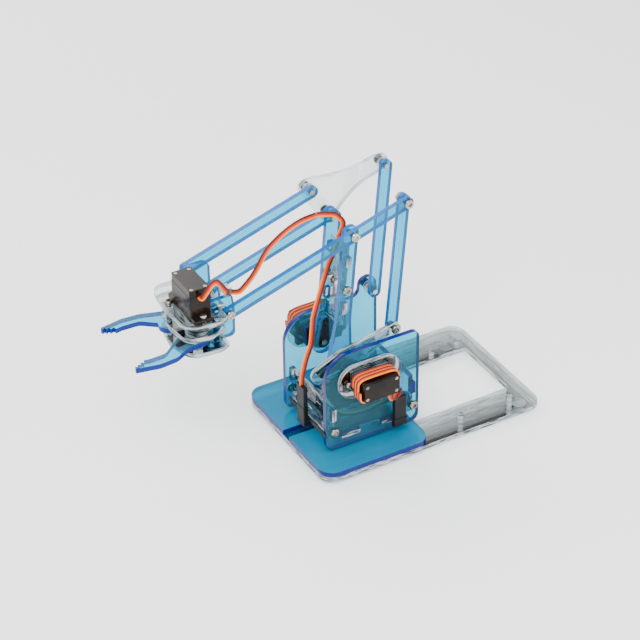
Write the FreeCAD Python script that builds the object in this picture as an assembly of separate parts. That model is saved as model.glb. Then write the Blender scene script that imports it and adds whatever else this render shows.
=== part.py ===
import FreeCAD, Part
import math, os

# Desktop four-axis arm cut from 3 mm acrylic sheet and driven by four micro servos.
# Millimetres.  Every length below is laid out from the shoulder axis (x = 0) and the
# table top (z = 0); the finished solids are then moved so that the frame's origin is
# in the middle of the object's bounding box, on the table.
# +X points from the base towards the gripper, +Y to the arm's left, +Z up.

V = FreeCAD.Vector
OUT = "parts"
os.makedirs(OUT, exist_ok=True)

# ---------------------------------------------------------------- driving dimensions
SHEET = 3.0              # acrylic sheet
YAW_X = -4.1             # yaw axis, behind the shoulder axis
FOOT_H = 2.0             # rubber foot height under the base frame
SHIFT = V(-7.6, 0.55, 0)  # centres the finished object on the origin

ARM_L = 80.0             # shoulder to elbow
FORE_L = 80.0            # elbow to wrist
LEVER_L = 35.0           # elbow lever, and the forearm's rear extension
LEAN = 5.2               # upper arm leans back from vertical, degrees
PITCH = 17.3             # forearm nose-down from level, degrees
S = (0.0, 55.2)          # shoulder axis (x, z)
T1_OFF = (12.6, 19.5)    # elbow plate: front pivot from elbow, gripper top pivot from wrist
T2_OFF = (-33.9, 21.8)   # elbow plate: rear pivot from elbow, fin pivot from shoulder

LINK_W = 7.0             # links and forearms
ARM_W = 9.2              # upper arms
HUB_R = 7.2              # shoulder hubs
PIN_R = 1.5              # M3 shank
RUN = 0.05               # running clearance, radial
OPEN = 0.40              # clearance of the linkage's open pivots, radial

# layers across the arm, (inner or lower y, upper y)
NU = (7.3, 10.3)         # near upper arm, drive link, gripper near plate
NF = (10.8, 13.8)        # near forearm, elbow lever
FU = (-11.4, -8.4)       # far upper arm
FF = (-14.8, -11.8)      # far forearm
FL = (-12.2, -9.2)       # levelling links
GF = (-8.9, -5.9)        # gripper far plate
TR = (-18.2, -15.2)      # elbow plate
NP = (25.3, 28.3)        # near side plate
FP = (-20.6, -17.6)      # far side plate

# micro servo
SV_L, SV_W = 22.2, 11.8      # body footprint
SV_SHAFT = 5.9               # shaft from the body's end
SV_BACK = 18.4               # ear face to back
SV_TOP = 4.3                 # ear face to case top
SV_BOSS = 8.3                # ear face to gear boss end
SV_TIP = 11.9                # ear face to spline tip
EAR_L, EAR_T = 5.0, 2.5

lean, pitch = math.radians(LEAN), math.radians(PITCH)
UP = (-math.sin(lean), math.cos(lean))
FW = (math.cos(pitch), -math.sin(pitch))
E = (S[0] + ARM_L * UP[0], S[1] + ARM_L * UP[1])
W = (E[0] + FORE_L * FW[0], E[1] + FORE_L * FW[1])
R = (E[0] - LEVER_L * FW[0], E[1] - LEVER_L * FW[1])
L = (S[0] - LEVER_L * FW[0], S[1] - LEVER_L * FW[1])
T1 = (E[0] + T1_OFF[0], E[1] + T1_OFF[1])
T2 = (E[0] + T2_OFF[0], E[1] + T2_OFF[1])
G2 = (W[0] + T1_OFF[0], W[1] + T1_OFF[1])
P = (S[0] + T2_OFF[0], S[1] + T2_OFF[1])

made = {}


# ---------------------------------------------------------------- helpers
def at(plane, u, v, w):
    if plane == "xz":
        return V(u, w, v)
    if plane == "xy":
        return V(u, v, w)
    return V(w, u, v)            # yz


def outline(pts, plane, w):
    """closed wire through (u, v, corner radius) points"""
    n = len(pts)
    segs, ins, outs = [], [], []
    for i in range(n):
        u, v, r = pts[i]
        pu, pv, _ = pts[i - 1]
        nu, nv, _ = pts[(i + 1) % n]
        a = (pu - u, pv - v)
        b = (nu - u, nv - v)
        la, lb = math.hypot(*a), math.hypot(*b)
        a = (a[0] / la, a[1] / la)
        b = (b[0] / lb, b[1] / lb)
        if r <= 0:
            ins.append((u, v)); outs.append((u, v)); segs.append(None)
            continue
        ang = math.acos(max(-1, min(1, a[0] * b[0] + a[1] * b[1])))
        t = r / math.tan(ang / 2)
        p1 = (u + a[0] * t, v + a[1] * t)
        p2 = (u + b[0] * t, v + b[1] * t)
        h = r / math.sin(ang / 2)
        m = (a[0] + b[0], a[1] + b[1])
        lm = math.hypot(*m)
        m = (m[0] / lm, m[1] / lm)
        c = (u + m[0] * h, v + m[1] * h)
        mid = (c[0] - m[0] * r, c[1] - m[1] * r)
        ins.append(p1); outs.append(p2); segs.append(mid)
    edges = []
    for i in range(n):
        if segs[i] is not None:
            edges.append(Part.Arc(at(plane, *ins[i], w), at(plane, *segs[i], w),
                                  at(plane, *outs[i], w)).toShape())
        j = (i + 1) % n
        if math.hypot(ins[j][0] - outs[i][0], ins[j][1] - outs[i][1]) > 1e-6:
            edges.append(Part.makeLine(at(plane, *outs[i], w), at(plane, *ins[j], w)))
    return Part.Wire(edges)


def slab(pts, plane, span):
    lo, hi = span
    f = Part.Face(outline(pts, plane, lo))
    d = {"xz": V(0, hi - lo, 0), "xy": V(0, 0, hi - lo), "yz": V(hi - lo, 0, 0)}[plane]
    return f.extrude(d)


def box(x0, x1, y0, y1, z0, z1):
    return Part.makeBox(x1 - x0, y1 - y0, z1 - z0, V(x0, y0, z0))


def rod(axis, c, r, lo, hi):
    """cylinder; c is the centre in the plane across the axis"""
    if axis == "y":
        return Part.makeCylinder(r, hi - lo, V(c[0], lo, c[1]), V(0, 1, 0))
    if axis == "z":
        return Part.makeCylinder(r, hi - lo, V(c[0], c[1], lo), V(0, 0, 1))
    return Part.makeCylinder(r, hi - lo, V(lo, c[0], c[1]), V(1, 0, 0))


def hull2(a, ra, b, rb, plane, span):
    """flat link between two round ends"""
    dx, dy = b[0] - a[0], b[1] - a[1]
    d = math.hypot(dx, dy)
    base = math.atan2(dy, dx)
    off = math.acos((ra - rb) / d)
    lo, hi = span
    pa = [(a[0] + ra * math.cos(base + s * off), a[1] + ra * math.sin(base + s * off)) for s in (1, -1)]
    pb = [(b[0] + rb * math.cos(base + s * off), b[1] + rb * math.sin(base + s * off)) for s in (1, -1)]
    ma = (a[0] - ra * math.cos(base), a[1] - ra * math.sin(base))
    mb = (b[0] + rb * math.cos(base), b[1] + rb * math.sin(base))
    w = Part.Wire([
        Part.makeLine(at(plane, *pa[0], lo), at(plane, *pb[0], lo)),
        Part.Arc(at(plane, *pb[0], lo), at(plane, *mb, lo), at(plane, *pb[1], lo)).toShape(),
        Part.makeLine(at(plane, *pb[1], lo), at(plane, *pa[1], lo)),
        Part.Arc(at(plane, *pa[1], lo), at(plane, *ma, lo), at(plane, *pa[0], lo)).toShape()])
    d = {"xz": V(0, hi - lo, 0), "xy": V(0, 0, hi - lo), "yz": V(hi - lo, 0, 0)}[plane]
    return Part.Face(w).extrude(d)


def join(*s):
    out = s[0]
    for t in s[1:]:
        out = out.fuse(t)
    return out.removeSplitter()


def cut(s, *tools):
    for t in tools:
        s = s.cut(t)
    return s


def along(axis, sign):
    v = {"x": V(1, 0, 0), "y": V(0, 1, 0), "z": V(0, 0, 1)}[axis]
    return V(v.x * sign, v.y * sign, v.z * sign)


def screw(tip_dir, p, length, head_r=2.75, head_h=1.7, r=PIN_R, sock=1.15):
    """button head socket screw; p is under the head, tip_dir points down the shank"""
    d = V(*tip_dir)
    head = Part.makeCylinder(head_r, head_h, p - d * head_h, d)
    top = [e for e in head.Edges if len(e.Vertexes) == 1 and
           (e.Curve.Center - (p - d * head_h)).Length < 1e-6]
    head = head.makeFillet(head_h * 0.62, top)
    shank = Part.makeCylinder(r, length + 0.01, p - d * 0.01, d)
    s = head.fuse(shank).removeSplitter()
    a = V(0, 0, 1) if abs(d.z) < 0.5 else V(1, 0, 0)
    b = d.cross(a)
    pts = []
    for i in range(7):
        t = math.radians(60 * i)
        pts.append(p - d * (head_h + 0.01) + (a * math.cos(t) + b * math.sin(t)) * (sock * 1.1547))
    hexa = Part.Face(Part.makePolygon(pts)).extrude(d * 1.1)
    return s.cut(hexa)


def nut(axis, c, lo, hi, flats=5.5, hole=PIN_R, turn=0.0):
    """square-cornered hexagon nut threaded on an M3 shank"""
    rr = flats / math.sqrt(3)
    pts = []
    for i in range(7):
        t = math.radians(60 * i + turn)
        u, v = c[0] + rr * math.cos(t), c[1] + rr * math.sin(t)
        pts.append({"y": V(u, lo, v), "z": V(u, v, lo), "x": V(lo, u, v)}[axis])
    d = {"y": V(0, hi - lo, 0), "z": V(0, 0, hi - lo), "x": V(hi - lo, 0, 0)}[axis]
    return cut(Part.Face(Part.makePolygon(pts)).extrude(d), rod(axis, c, hole, lo - 1, hi + 1))


def put(shape, origin, xdir, zdir):
    """place a shape built with its shaft along local +Z"""
    x, z = V(*xdir), V(*zdir)
    y = z.cross(x)
    m = FreeCAD.Matrix(x.x, y.x, z.x, origin[0], x.y, y.y, z.y, origin[1],
                       x.z, y.z, z.z, origin[2], 0, 0, 0, 1)
    t = shape.copy()
    t.Placement = FreeCAD.Placement(m).multiply(t.Placement)
    return t


def save(name, *solids):
    shp = solids[0] if len(solids) == 1 else Part.makeCompound(list(solids))
    shp = shp.copy()
    shp.translate(SHIFT)
    for s in shp.Solids:
        if not s.isValid() or s.Volume <= 0:
            print("CHECK", name, s.isValid(), s.Volume)
    if name in made:
        print("TWICE", name)
    made[name] = shp
    shp.exportStep(os.path.join(OUT, name + ".step"))


def lead(points, r, label):
    """round lead: straight runs joined by tangent arcs, one closed solid"""
    pts = [V(*p) for p in points]
    edges, length, radii = [], 0.0, []
    prev = pts[0]
    for i in range(1, len(pts) - 1):
        a, b = pts[i - 1] - pts[i], pts[i + 1] - pts[i]
        la, lb = a.Length, b.Length
        a.normalize(); b.normalize()
        ang = math.acos(max(-1, min(1, a.dot(b))))
        turn = math.pi - ang
        rad = 0.45 * min(la, lb) / math.tan(turn / 2)
        t = rad * math.tan(turn / 2)
        p1, p2 = pts[i] + a * t, pts[i] + b * t
        m = a + b
        m.normalize()
        c = pts[i] + m * (rad / math.cos(turn / 2))
        mid = c - m * rad
        edges.append(Part.LineSegment(prev, p1).toShape())
        edges.append(Part.Arc(p1, mid, p2).toShape())
        length += (p1 - prev).Length + rad * turn
        radii.append(rad)
        prev = p2
    edges.append(Part.LineSegment(prev, pts[-1]).toShape())
    length += (pts[-1] - prev).Length
    wire = Part.Wire(edges)
    d = pts[1] - pts[0]
    d.normalize()
    prof = Part.Wire([Part.makeCircle(r, pts[0], d)])
    solid = wire.makePipeShell([prof], True, False)
    if solid.ShapeType != "Solid":
        solid = Part.Solid(solid)
    ratio = solid.Volume / (math.pi * r * r * length)
    print("lead", label, "length %.1f" % length, "volume ratio %.4f" % ratio,
          "radii", [round(x, 1) for x in radii])
    return solid


# ---------------------------------------------------------------- micro servo, local frame
def rbox(x0, x1, y0, y1, z0, z1, r):
    return slab([(x0, y0, r), (x1, y0, r), (x1, y1, r), (x0, y1, r)], "xy", (z0, z1))


SX0, SX1 = SV_SHAFT - SV_L, SV_SHAFT
EAR_HOLES = ((SX0 - 2.4, 0), (SX1 + 2.4, 0))


def servo_case():
    body = rbox(SX0, SX1, -SV_W / 2, SV_W / 2, -14.2, SV_TOP, 0.7)
    ears = rbox(SX0 - EAR_L, SX1 + EAR_L, -SV_W / 2, SV_W / 2, -EAR_T, 0, 0.9)
    boss = Part.makeCylinder(SV_W / 2, SV_BOSS - SV_TOP, V(0, 0, SV_TOP))
    small = Part.makeCylinder(2.9, SV_BOSS - SV_TOP - 1.2, V(-6.2, 0, SV_TOP))
    s = join(body, ears, boss, small)
    s = cut(s, Part.makeCylinder(2.55, 1.2, V(0, 0, SV_BOSS - 1.2)))
    for hx, hy in EAR_HOLES:
        s = cut(s, Part.makeCylinder(1.0, 6, V(hx, hy, -4)))
        out = SX0 - EAR_L - 1 if hx < 0 else SX1 + EAR_L + 1
        s = cut(s, box(min(hx, out), max(hx, out), -0.6, 0.6, -4, 2))
    # lead slot at the foot of the shaft end
    return s


def servo_lid():
    return rbox(SX0 + 0.12, SX1 - 0.12, -SV_W / 2 + 0.12, SV_W / 2 - 0.12, -SV_BACK, -14.2, 1.0)


LID_SCREWS = ((SX0 + 1.9, -SV_W / 2 + 1.9), (SX0 + 1.9, SV_W / 2 - 1.9),
              (SX1 - 1.9, -SV_W / 2 + 1.9), (SX1 - 1.9, SV_W / 2 - 1.9))


def lid_holes(lid):
    for c in LID_SCREWS:
        lid = cut(lid, Part.makeCylinder(1.05, 1.0, V(c[0], c[1], -SV_BACK - 0.1)))
        lid = cut(lid, Part.makeCylinder(0.55, 6, V(c[0], c[1], -SV_BACK - 0.1)))
    return lid


def lid_screw(c):
    s = join(Part.makeCylinder(0.95, 0.7, V(c[0], c[1], -SV_BACK + 0.15)),
             Part.makeCylinder(0.55, 4.0, V(c[0], c[1], -SV_BACK + 0.2)))
    return cut(s, box(c[0] - 0.7, c[0] + 0.7, c[1] - 0.14, c[1] + 0.14, -SV_BACK, -SV_BACK + 0.4),
               box(c[0] - 0.14, c[0] + 0.14, c[1] - 0.7, c[1] + 0.7, -SV_BACK, -SV_BACK + 0.4))


def servo_spline():
    n, ro, ri = 21, 2.4, 2.2
    pts = []
    for i in range(n * 2):
        t = 2 * math.pi * i / (n * 2)
        rr = ro if i % 2 == 0 else ri
        pts.append(V(rr * math.cos(t), rr * math.sin(t), SV_BOSS - 0.7))
    pts.append(pts[0])
    g = Part.Face(Part.makePolygon(pts)).extrude(V(0, 0, SV_TIP - SV_BOSS + 0.7))
    return cut(g, Part.makeCylinder(0.9, 4, V(0, 0, SV_TIP - 3.2)))


def horn(hub_lo, hub_hi, arm_lo, arm_hi, ang, reach=14.3, recess=None):
    """single-arm horn on the local shaft axis; recess is the screw seat's depth"""
    hub = Part.makeCylinder(3.5, hub_hi - hub_lo, V(0, 0, hub_lo))
    t = math.radians(ang)
    arm = hull2((0, 0), 3.5, (reach * math.cos(t), reach * math.sin(t)), 1.9, "xy", (arm_lo, arm_hi))
    s = join(hub, arm)
    s = cut(s, Part.makeCylinder(2.4, SV_TIP - hub_lo + 0.001, V(0, 0, hub_lo - 0.001)))
    s = cut(s, Part.makeCylinder(1.0, 8, V(0, 0, SV_TIP - 1)))
    for k in range(4):
        q = 5.6 + 2.3 * k
        s = cut(s, Part.makeCylinder(0.5, 6, V(q * math.cos(t), q * math.sin(t), arm_lo - 1)))
    return s


SERVOS = {
    "elbow": ((S[0], NP[1], S[1]), (1, 0, 0), (0, -1, 0)),
    "shoulder": ((S[0], FP[0], S[1]), (1, 0, 0), (0, 1, 0)),
    "yaw": ((YAW_X, 0, 18.0), (1, 0, 0), (0, 0, -1)),
}
GS = (87.4, 10.8, 116.6)     # gripper shaft axis at the ear face
SERVOS["gripper"] = (GS, (0, 1, 0), (0, 0, -1))
TURRET_SERVOS = ("elbow", "shoulder", "yaw")
save("turret_servo_housings", *([put(servo_case(), *SERVOS[n]) for n in TURRET_SERVOS] +
                                [put(lid_holes(servo_lid()), *SERVOS[n]) for n in TURRET_SERVOS]))
save("gripper_servo_housing", put(servo_case(), *SERVOS["gripper"]), put(lid_holes(servo_lid()), *SERVOS["gripper"]))
for n in ("elbow", "shoulder", "yaw", "gripper"):
    save(n + "_servo_output", put(servo_spline(), *SERVOS[n]))

# ---------------------------------------------------------------- base
BX0, BX1, BY0, BY1 = -114.2, 30.2, -47.8, 45.7
BZ0 = FOOT_H
WX0, WX1, WY0, WY1 = -105.0, -40.5, -24.0, 23.0      # open window of the base frame
TOPX0 = -38.4
frame_pl = slab([(BX0, BY0, 9), (BX1, BY0, 9), (BX1, BY1, 9), (BX0, BY1, 9)], "xy", (BZ0, BZ0 + 3))
window = slab([(WX0, WY0, 2), (WX1, WY0, 2), (WX1, WY1, 2), (WX0, WY1, 2)], "xy", (BZ0 - 1, BZ0 + 4))
FEET = ((22.7, -34.6), (24.3, 38.4), (-102.4, -40.5), (-103.9, 35.5))
BOARD_NEAR = ((-100.6, 30.8), (-67.1, 30.8))
BOARD_FAR = ((-105.4, -33.7), (-86.1, -31.0))       # not in a row
frame_pl = cut(frame_pl, window)
for c in BOARD_NEAR + BOARD_FAR:
    frame_pl = cut(frame_pl, rod("z", c, 1.6, BZ0 - 1, BZ0 + 4))
frame_pl = cut(frame_pl, rod("z", (YAW_X, 0), 3.0, BZ0 - 1, BZ0 + 4))
save("base_frame_plate", frame_pl)

top_pl = slab([(TOPX0, BY0, 9), (BX1, BY0, 9), (BX1, BY1, 9), (TOPX0, BY1, 9)], "xy", (BZ0 + 3, BZ0 + 6))
slot = join(box(YAW_X, BX1 + 2, -3.5, 3.5, BZ0 + 2, BZ0 + 7), rod("z", (YAW_X, 0), 3.75, BZ0 + 2, BZ0 + 7))
top_pl = cut(top_pl, slot)
save("base_top_plate", top_pl)

feet = []
for c in FEET:
    f = Part.makeCone(5.0, 4.4, FOOT_H, V(c[0], c[1], 0), V(0, 0, 1))
    feet.append(f)
save("rubber_feet", *feet)

# yaw horn, sunk in the top plate, arm pointing forwards along the slot
yo = SERVOS["yaw"]
EARZ = 18.0
h_lo, h_hi = EARZ - (BZ0 + 7.6), EARZ - (BZ0 + 3.0)
yh = horn(h_lo, h_hi, h_hi - 1.5, h_hi, 0.0)
yh = cut(yh, Part.makeCylinder(2.0, 2, V(0, 0, h_hi - 0.9)))
save("yaw_horn", put(yh, *yo))
yscr = join(Part.makeCylinder(1.9, 0.7, V(0, 0, h_hi - 0.8)), Part.makeCylinder(0.9, h_hi - 0.7 - (SV_TIP - 2.9), V(0, 0, SV_TIP - 2.9)))
save("yaw_horn_screw", put(cut(yscr, box(-1.3, 1.3, -0.25, 0.25, h_hi - 0.45, h_hi + 1)), *yo))

# ---------------------------------------------------------------- turret
CX0, CX1 = -39.9, 20.0
PZ0, PZ1 = 10.0, 71.5
FX = (13.1, 16.1)            # front cross plate
RX = (-37.8, -34.8)          # rear cross plate
FLZ = (15.0, 18.0)           # turret floor
near_pts = [(CX0, PZ0, 5), (CX1, PZ0, 5), (CX1, PZ1, 16), (CX0, PZ1, 4)]
far_pts = [(CX0, PZ0, 5), (CX1, PZ0, 5), (CX1, PZ1, 16), (P[0] + 5.5, PZ1, 5),
           (P[0] + 5.5, P[1] + 5.5, 5.4), (P[0] - 5.5, P[1] + 5.5, 5.4), (CX0 + 0.2, PZ1 - 6, 0)]
SCR_Z = 21.5
TURRET_SCREWS = ((14.6, SCR_Z), (-36.3, SCR_Z))


def side_plate(pts, span, hole_body):
    s = slab(pts, "xz", span)
    lo, hi = span[0] - 1, span[1] + 1
    s = cut(s, box(SX0 - 0.3, SX1 + 0.3, lo, hi, S[1] - SV_W / 2 - 0.3, S[1] + SV_W / 2 + 0.3))
    s = cut(s, box(FX[0], FX[1], lo, hi, 28.5, 36.5), box(RX[0], RX[1], lo, hi, 29.5, 37.0))
    s = cut(s, box(-2, 10, lo, hi, *FLZ), box(-28, -16, lo, hi, *FLZ))
    for c in TURRET_SCREWS:
        s = cut(s, rod("y", c, 1.5, lo, hi))
    for hx, _ in EAR_HOLES:
        s = cut(s, rod("y", (hx, S[1]), 0.9, lo, hi))
    return s


near_plate = side_plate(near_pts, NP, True)
far_plate = side_plate(far_pts, FP, True)
far_plate = cut(far_plate, rod("y", P, PIN_R + RUN, FP[0] - 1, FP[1] + 1))
save("near_side_plate", near_plate)
save("far_side_plate", far_plate)


def t_slot(s, xr, yface, sign, z):
    """slot for the shank and a pocket for the nut, reaching in from a side plate"""
    y0, y1 = sorted((yface, yface + sign * 9.0))
    s = cut(s, box(xr[0] - 1, xr[1] + 1, y0 - (0.5 if sign > 0 else 0), y1 + (0.5 if sign < 0 else 0), z - 1.6, z + 1.6))
    a, b = sorted((yface + sign * 4.0, yface + sign * 6.6))
    return cut(s, box(xr[0] - 1, xr[1] + 1, a, b, z - 3.25, z + 3.25))


def cross_plate(xr, tab, z0, z1, notch):
    s = box(xr[0], xr[1], FP[1], NP[0], z0, z1)
    s = join(s, box(xr[0], xr[1], FP[0], NP[1], *tab))
    s = t_slot(s, xr, NP[0], -1, SCR_Z)
    s = t_slot(s, xr, FP[1], 1, SCR_Z)
    return s


save("front_cross_plate", cross_plate(FX, (28.5, 36.5), 18.1, 36.5, None))
save("rear_cross_plate", cross_plate(RX, (29.5, 37.0), 18.1, 40.0, None))
floor = box(RX[0], FX[1], FP[1], NP[0], *FLZ)
floor = join(floor, box(-2, 10, FP[0], NP[1], *FLZ), box(-28, -16, FP[0], NP[1], *FLZ))
floor = cut(floor, box(YAW_X + SX0 - 0.2, YAW_X + SX1 + 0.2, -SV_W / 2 - 0.2, SV_W / 2 + 0.2, 10, 22))
for hx, _ in EAR_HOLES:
    floor = cut(floor, rod("z", (YAW_X + hx, 0), 0.9, 10, 20))
save("turret_floor", floor)

tscr, tnut = [], []
for c in TURRET_SCREWS:
    tscr.append(screw((0, -1, 0), V(c[0], NP[1], c[1]), 11.0))
    tnut.append(nut("y", c, NP[0] - 6.5, NP[0] - 4.1, turn=30))
    tscr.append(screw((0, 1, 0), V(c[0], FP[0], c[1]), 11.0))
    tnut.append(nut("y", c, FP[1] + 4.1, FP[1] + 6.5, turn=30))
save("turret_screws", *tscr)
save("turret_nuts", *tnut)

# servo collars outside the side plates, over the ears
COL = [(-25.2, S[1] - 10.4, 10.2), (14.3, S[1] - 10.4, 10.2), (14.3, S[1] + 10.4, 10.2), (-25.2, S[1] + 10.4, 10.2)]


def collar(span):
    s = slab(COL, "xz", span)
    s = cut(s, box(SX0 - 0.15, SX1 + 0.15, span[0] - 1, span[1] + 1, S[1] - SV_W / 2 - 0.15, S[1] + SV_W / 2 + 0.15))
    for hx, _ in EAR_HOLES:
        s = cut(s, rod("y", (hx, S[1]), 0.9, span[0] - 1, span[1] + 1))
    return s


save("servo_collars", collar((NP[1] + EAR_T, NP[1] + EAR_T + 3)), collar((FP[0] - EAR_T - 3, FP[0] - EAR_T)))
cscr = [put(lid_screw(c), *SERVOS[n]) for n in TURRET_SERVOS for c in LID_SCREWS]
for hx, _ in EAR_HOLES:
    cscr.append(screw((0, -1, 0), V(hx, NP[1] + EAR_T + 3, S[1]), 8.4, 1.9, 1.3, 0.9, 0.7))
    cscr.append(screw((0, 1, 0), V(hx, FP[0] - EAR_T - 3, S[1]), 8.4, 1.9, 1.3, 0.9, 0.7))
    cscr.append(screw((0, 0, -1), V(YAW_X + hx, 0, 18 + EAR_T), 5.4, 1.9, 1.3, 0.9, 0.7))
save("turret_servo_screws", *cscr)

# ---------------------------------------------------------------- upper arm
def lerp(a, b, t):
    return (a[0] + (b[0] - a[0]) * t, a[1] + (b[1] - a[1]) * t)


def arm_at(s, w=0.0):
    """point s mm up the arm from the shoulder, w mm forwards of its line"""
    return (S[0] + UP[0] * s + UP[1] * w, S[1] + UP[1] * s - UP[0] * w)


def arm_rect(s0, s1, w0, w1, span):
    return slab([(*arm_at(s0, w0), 0), (*arm_at(s0, w1), 0), (*arm_at(s1, w1), 0), (*arm_at(s1, w0), 0)], "xz", span)


def upper_arm(span):
    a = hull2(S, ARM_W / 2, E, ARM_W / 2, "xz", span)
    hub = hull2(S, HUB_R, arm_at(24), ARM_W / 2 + 0.001, "xz", span)
    return join(a, hub)


BR_TAB1, BR_TAB2, BR_SCR = (29.0, 36.0), (59.0, 65.0), 44.5      # brace tabs and screw, up the arm
near_arm = upper_arm(NU)
for t in (BR_TAB1, BR_TAB2):
    near_arm = cut(near_arm, arm_rect(t[0], t[1], -1.5, 1.5, (NU[0] - 1, NU[1] + 1)))
near_arm = cut(near_arm, rod("y", arm_at(BR_SCR), 1.5, NU[0] - 1, NU[1] + 1),
               rod("y", E, PIN_R, NU[0] - 1, NU[1] + 1), rod("y", S, PIN_R + RUN, NU[0] - 1, NU[1] + 1))
save("near_upper_arm", near_arm)
far_arm = upper_arm(FU)
for t in (BR_TAB1, BR_TAB2):
    far_arm = cut(far_arm, arm_rect(t[0], t[1], -1.5, 1.5, (FU[0] - 1, FU[1] + 1)))
far_arm = cut(far_arm, rod("y", arm_at(BR_SCR), 1.5, FU[0] - 1, FU[1] + 1), rod("y", E, PIN_R, FU[0] - 1, FU[1] + 1))
horn_cut = hull2(S, 3.5, arm_at(14.3), 1.9, "xz", (FU[0] - 1, FU[1] + 1))
far_arm = cut(far_arm, horn_cut)
save("far_upper_arm", far_arm)

brace = arm_rect(20.0, 70.0, -1.5, 1.5, (FU[1], NU[0]))
for t in (BR_TAB1, BR_TAB2):
    brace = join(brace, arm_rect(t[0], t[1], -1.5, 1.5, (FU[0], NU[1])))
for y0, y1, n0, n1 in ((NU[0] - 7.0, NU[0] + 0.5, NU[0] - 5.4, NU[0] - 2.8), (FU[1] - 0.5, FU[1] + 7.0, FU[1] + 2.8, FU[1] + 5.4)):
    brace = cut(brace, arm_rect(BR_SCR - 1.6, BR_SCR + 1.6, -2, 2, (y0, y1)),
                arm_rect(BR_SCR - 3.25, BR_SCR + 3.25, -2, 2, (n0, n1)))
save("arm_brace", brace)
bc = arm_at(BR_SCR)
arm_screws = [screw((0, -1, 0), V(bc[0], NU[1], bc[1]), 9.5), screw((0, 1, 0), V(bc[0], FU[0], bc[1]), 9.5)]
bt = math.degrees(lean) + 30
save("arm_brace_nuts", nut("y", bc, NU[0] - 5.3, NU[0] - 2.9, turn=90 - LEAN + 60), nut("y", bc, FU[1] + 2.9, FU[1] + 5.3, turn=90 - LEAN + 60))

# shoulder horn: arm lies in the far upper arm, flush with its inner face
so = SERVOS["shoulder"]
y_face = FU[1] - FP[0]            # horn's outer face, from the ear face
hs_hi = y_face
hs_lo = SV_BOSS + 0.5
# local x is +X and local y is z cross x: for a shaft along +Y this is -Z
up_ang = math.degrees(math.atan2(-UP[1], UP[0]))
sh = horn(hs_lo, hs_hi, hs_hi - 1.6, hs_hi, up_ang)
sh = cut(sh, Part.makeCylinder(1.95, 2, V(0, 0, SV_TIP)))
save("shoulder_horn", put(sh, *so))
scr_s = join(Part.makeCylinder(1.9, 0.9, V(0, 0, SV_TIP)),
             Part.makeCylinder(0.9, hs_hi - 0.3 - (SV_TIP - 2.9), V(0, 0, SV_TIP - 2.9)))
scr_s = cut(scr_s, box(-1.4, 1.4, -0.25, 0.25, hs_hi + 0.2, hs_hi + 1), box(-0.25, 0.25, -1.4, 1.4, hs_hi + 0.2, hs_hi + 1))
arm_screws.append(put(scr_s, *so))

# elbow screws: heads outside, threaded into the upper arms, forearms and elbow plate turn on them
save("upper_arm_screws", *arm_screws,
     screw((0, -1, 0), V(E[0], NF[1] + 0.35, E[1]), NF[1] + 0.35 - NU[0] + 0.3),
     screw((0, 1, 0), V(E[0], TR[0] - 0.35, E[1]), FU[1] + 0.3 - TR[0] + 0.35))

# ---------------------------------------------------------------- elbow lever
TAIL = (S[0] + 15.6 * FW[0], S[1] + 15.6 * FW[1])
lever = join(hull2(S, HUB_R, TAIL, 5.0, "xz", NF), hull2(S, HUB_R, L, LINK_W / 2, "xz", NF))
lever = cut(lever, rod("y", S, PIN_R, NF[0] - 1, NF[1] + 1), rod("y", L, PIN_R, NF[0] - 1, NF[1] + 1))
lever = cut(lever, hull2(S, 3.5, (S[0] + 14.3 * FW[0], S[1] + 14.3 * FW[1]), 1.9, "xz", (NF[1] - 1.5, NF[1] + 1)))
save("elbow_lever", lever)
eo = SERVOS["elbow"]
he_hi = NP[1] - (NF[1] - 1.5)      # horn's outer face, seated in the lever
he_lo = SV_BOSS + 0.5
# shaft along -Y: local y is z cross x = +Z
fw_ang = math.degrees(math.atan2(FW[1], FW[0]))
eh = horn(he_lo, he_hi, he_hi - 1.5, he_hi, fw_ang)
save("elbow_horn", put(eh, *eo))
# shoulder pin: through the near upper arm, threaded in the lever, tip in the horn
lever_screws = [screw((0, 1, 0), V(S[0], NU[0] - 0.35, S[1]), NF[1] - 1.5 - NU[0] + 0.35)]
# lever pin: head outside, threaded in the lever, the drive link's open pivot
save("elbow_lever_screws", *lever_screws, screw((0, -1, 0), V(L[0], NF[1], L[1]), NF[1] - NU[0] + 0.4))

# ---------------------------------------------------------------- forearm
nf = hull2(W, LINK_W / 2, R, LINK_W / 2, "xz", NF)
for c in (W, R, E):
    nf = cut(nf, rod("y", c, PIN_R + RUN, NF[0] - 1, NF[1] + 1))
save("near_forearm", nf)
ff = join(hull2(W, LINK_W / 2, E, LINK_W / 2, "xz", FF), rod("y", E, ARM_W / 2, *FF))
for c in (W, E):
    ff = cut(ff, rod("y", c, PIN_R + RUN, FF[0] - 1, FF[1] + 1))
save("far_forearm", ff)
dl = hull2(L, LINK_W / 2, R, LINK_W / 2, "xz", NU)
dl = cut(dl, rod("y", R, PIN_R + RUN, NU[0] - 1, NU[1] + 1), rod("y", L, PIN_R + OPEN, NU[0] - 1, NU[1] + 1))
save("drive_link", dl)
pin = screw((0, -1, 0), V(R[0], NF[1] + 0.35, R[1]), NF[1] + 0.35 - NU[0] + 2.5)
save("drive_link_screw", join(pin, cut(nut("y", R, NU[0] - 2.35, NU[0] - 0.35, turn=12, hole=1.4))))

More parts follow.
